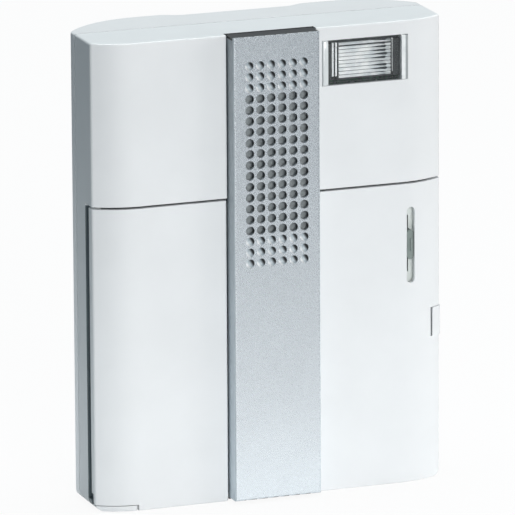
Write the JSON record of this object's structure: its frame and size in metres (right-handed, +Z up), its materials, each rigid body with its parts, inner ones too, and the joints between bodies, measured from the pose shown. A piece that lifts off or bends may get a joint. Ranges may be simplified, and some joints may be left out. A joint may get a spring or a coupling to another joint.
{
  "type": "doorbell chime",
  "caption": "Tall white wall chime box with a silver grille strip down its middle, a flash lamp at its top, and hinged doors over its batteries and its volume slider and settings.",
  "frame": {"origin": "middle of the wall side, on the plane of the pads and the rib that meet the wall", "axes": "+X to the right seen from the front, +Y into the wall, +Z up; the front faces -Y"},
  "size_m": [0.1435, 0.05, 0.185],
  "materials": {
    "white_plastic": "white moulded plastic, satin gloss",
    "silver_strip": "plastic with satin silver paint",
    "dark_plastic": "black moulded plastic",
    "speaker_cloth": "dark open cloth",
    "soft_rubber": "soft black rubber",
    "basket_steel": "pressed steel, black paint",
    "surround_rubber": "matt rubber",
    "cone_paper": "pressed dark paper",
    "magnet_ferrite": "bare ferrite and zinc plated steel",
    "screw_steel": "zinc plated",
    "pin_steel": "ground steel",
    "clear_lens": "clear moulded plastic",
    "reflector_chrome": "bright plated",
    "tube_glass": "clear glass",
    "contact_metal": "nickel plated",
    "circuit_board": "green solder mask",
    "inner_plastic": "pale grey moulded plastic",
    "chip_black": "black moulded case",
    "capacitor_sleeve": "dark blue sleeve over a metal can",
    "coil_copper": "enamelled copper wire",
    "resistor_body": "tan lacquer",
    "slider_metal": "tin plated cover",
    "trough_plastic": "pale grey green plastic",
    "knob_plastic": "grey green plastic",
    "panel_plastic": "pale moulded plastic",
    "button_plastic": "grey moulded plastic",
    "terminal_plastic": "green moulded plastic",
    "terminal_brass": "nickel plated brass",
    "cell_jacket": "printed jacket over a steel can"
  },
  "bodies": {
    "case": {"back_shell": "white_plastic", "front_housing": "white_plastic", "trim_strip": "silver_strip", "strip_core": "dark_plastic", "speaker_cloth": "speaker_cloth", "speaker_gasket": "soft_rubber", "cable_grommet": "soft_rubber", "speaker_basket": "basket_steel", "speaker_surround": "surround_rubber", "speaker_cone": "cone_paper", "speaker_magnet": "magnet_ferrite", "speaker_screws": "screw_steel", "board_screws": "screw_steel", "case_screws": "screw_steel", "left_hinge_pins": "pin_steel", "right_hinge_pins": "pin_steel", "flash_lens": "clear_lens", "flash_bezel": "dark_plastic", "flash_reflector": "reflector_chrome", "flash_tube": "tube_glass", "flash_tube_caps": "contact_metal", "flash_board": "circuit_board", "flash_posts": "inner_plastic", "main_board": "circuit_board", "sound_chip": "chip_black", "driver_chip": "chip_black", "flash_capacitor": "capacitor_sleeve", "small_capacitors": "capacitor_sleeve", "trigger_coil": "coil_copper", "resistors": "resistor_body", "slider_housing": "slider_metal", "slider_trough": "trough_plastic", "control_panel": "panel_plastic", "button_switches": "chip_black", "mode_housing": "slider_metal", "terminal_block": "terminal_plastic", "terminal_screws": "terminal_brass", "battery_tray": "inner_plastic", "battery_cell_1": "cell_jacket", "battery_cell_2": "cell_jacket", "battery_cell_3": "cell_jacket", "battery_cell_4": "cell_jacket", "battery_contacts": "contact_metal", "battery_springs": "contact_metal"},
    "left_door": {"left_door": "white_plastic"},
    "right_door": {"right_door": "white_plastic", "latch_spring": "contact_metal"},
    "latch": {"latch_tab": "white_plastic"},
    "volume": {"volume_knob": "knob_plastic", "slider_lever": "inner_plastic"},
    "melody_cap": {"melody_button": "button_plastic"},
    "learn_cap": {"learn_button": "button_plastic"},
    "mode_lever": {"mode_switch": "knob_plastic"}
  },
  "joints": [
    {"name": "left_door_hinge", "type": "hinge", "parent": "case", "child": "left_door", "pos_m": [-0.0209, -0.0415, 0], "axis": [0, 0, 1], "range_deg": [0, 90]},
    {"name": "right_door_hinge", "type": "hinge", "parent": "case", "child": "right_door", "pos_m": [0.0209, -0.0415, 0], "axis": [0, 0, -1], "range_deg": [0, 90]},
    {"name": "latch_press", "type": "slide", "parent": "right_door", "child": "latch", "axis": [-1, 0, 0], "range_m": [0, 0.0005], "stiffness_N_per_m": 400, "springref_m": -0.0008, "deforming": ["latch_spring"]},
    {"name": "volume_slide", "type": "slide", "parent": "case", "child": "volume", "axis": [0, 0, 1], "range_m": [-0.009, 0.009]},
    {"name": "melody_press", "type": "slide", "parent": "case", "child": "melody_cap", "axis": [0, 1, 0], "range_m": [0, 0.0006], "stiffness_N_per_m": 600, "springref_m": -0.0004},
    {"name": "learn_press", "type": "slide", "parent": "case", "child": "learn_cap", "axis": [0, 1, 0], "range_m": [0, 0.0006], "stiffness_N_per_m": 600, "springref_m": -0.0004},
    {"name": "mode_slide", "type": "slide", "parent": "case", "child": "mode_lever", "axis": [1, 0, 0], "range_m": [-0.002, 0.002]}
  ]
}
